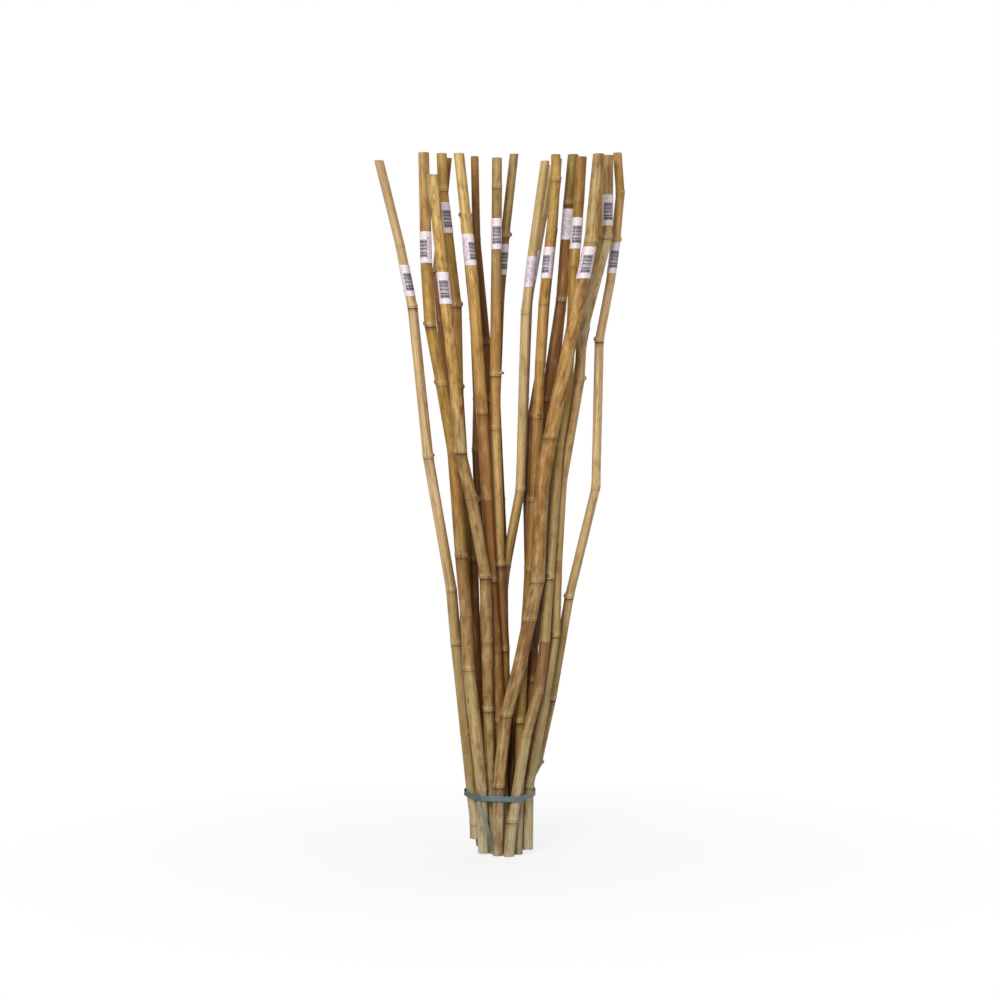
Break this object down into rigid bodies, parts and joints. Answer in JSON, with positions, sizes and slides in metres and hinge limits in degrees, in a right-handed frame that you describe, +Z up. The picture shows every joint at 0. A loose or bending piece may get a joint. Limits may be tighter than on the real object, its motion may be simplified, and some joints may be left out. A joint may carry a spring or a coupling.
{
  "type": "bamboo plant stake bundle",
  "caption": "Bundle of thin bamboo plant canes standing upright, tied near the butt ends with a flat band and fanned out towards the tips.",
  "frame": {"origin": "on the ground, under the middle of the bundle's box", "axes": "+Z up along the canes from butt to tip, front of the picture at -Y, +X to its right"},
  "size_m": [0.4392, 0.2066, 1.2331],
  "materials": {
    "culm_golden": "dried golden bamboo, satin",
    "culm_tan": "dried tan bamboo, satin",
    "culm_olive": "dried greenish bamboo, satin",
    "culm_brown": "weathered brown bamboo, matt",
    "culm_dark": "dark reddish brown bamboo, matt",
    "label": "thin coated paper, satin",
    "tie": "blue-green flat plastic tape, matt",
    "tie_tail": "pale grey-green flat plastic tape, matt"
  },
  "bodies": {
    "bundle": {"cane_03": "culm_tan", "label_03": "label", "cane_04": "culm_olive", "label_04": "label", "cane_05": "culm_brown", "cane_06": "culm_golden", "label_06": "label", "cane_07": "culm_dark", "cane_09": "culm_tan", "label_09": "label", "cane_10": "culm_olive", "label_10": "label", "cane_11": "culm_golden", "label_11": "label", "cane_12": "culm_tan", "label_12": "label", "cane_13": "culm_golden", "label_13": "label", "cane_14": "culm_dark", "cane_15": "culm_dark", "label_15": "label", "cane_17": "culm_tan", "label_17": "label", "cane_19": "culm_brown", "cane_20": "culm_tan", "label_20": "label"},
    "tie": {"tie_band": "tie", "tie_knot": "tie", "tie_tail": "tie_tail"},
    "drawn_cane_01": {"cane_01": "culm_golden", "label_01": "label"},
    "drawn_cane_02": {"cane_02": "culm_tan", "label_02": "label"},
    "drawn_cane_08": {"cane_08": "culm_brown"},
    "drawn_cane_16": {"cane_16": "culm_brown"},
    "drawn_cane_18": {"cane_18": "culm_golden", "label_18": "label"},
    "drawn_cane_21": {"cane_21": "culm_golden", "label_21": "label"}
  },
  "joints": [
    {"name": "tie_slide", "type": "slide", "parent": "bundle", "child": "tie", "axis": [0, 0, -1], "range_m": [0, 0.093]},
    {"name": "cane_01_draw", "type": "slide", "parent": "bundle", "child": "drawn_cane_01", "axis": [0.0019, -0.0662, 0.9978], "range_m": [0, 0.112]},
    {"name": "cane_02_draw", "type": "slide", "parent": "bundle", "child": "drawn_cane_02", "axis": [-0.0279, -0.0975, 0.9948], "range_m": [0, 0.112]},
    {"name": "cane_08_draw", "type": "slide", "parent": "bundle", "child": "drawn_cane_08", "axis": [-0.0559, 0.1376, 0.9889], "range_m": [0, 0.112]},
    {"name": "cane_16_draw", "type": "slide", "parent": "bundle", "child": "drawn_cane_16", "axis": [0.1531, 0.1387, 0.9784], "range_m": [0, 0.112]},
    {"name": "cane_18_draw", "type": "slide", "parent": "bundle", "child": "drawn_cane_18", "axis": [0.0066, -0.0539, 0.9985], "range_m": [0, 0.112]},
    {"name": "cane_21_draw", "type": "slide", "parent": "bundle", "child": "drawn_cane_21", "axis": [0.0488, 0.0714, 0.9963], "range_m": [0, 0.112]}
  ]
}
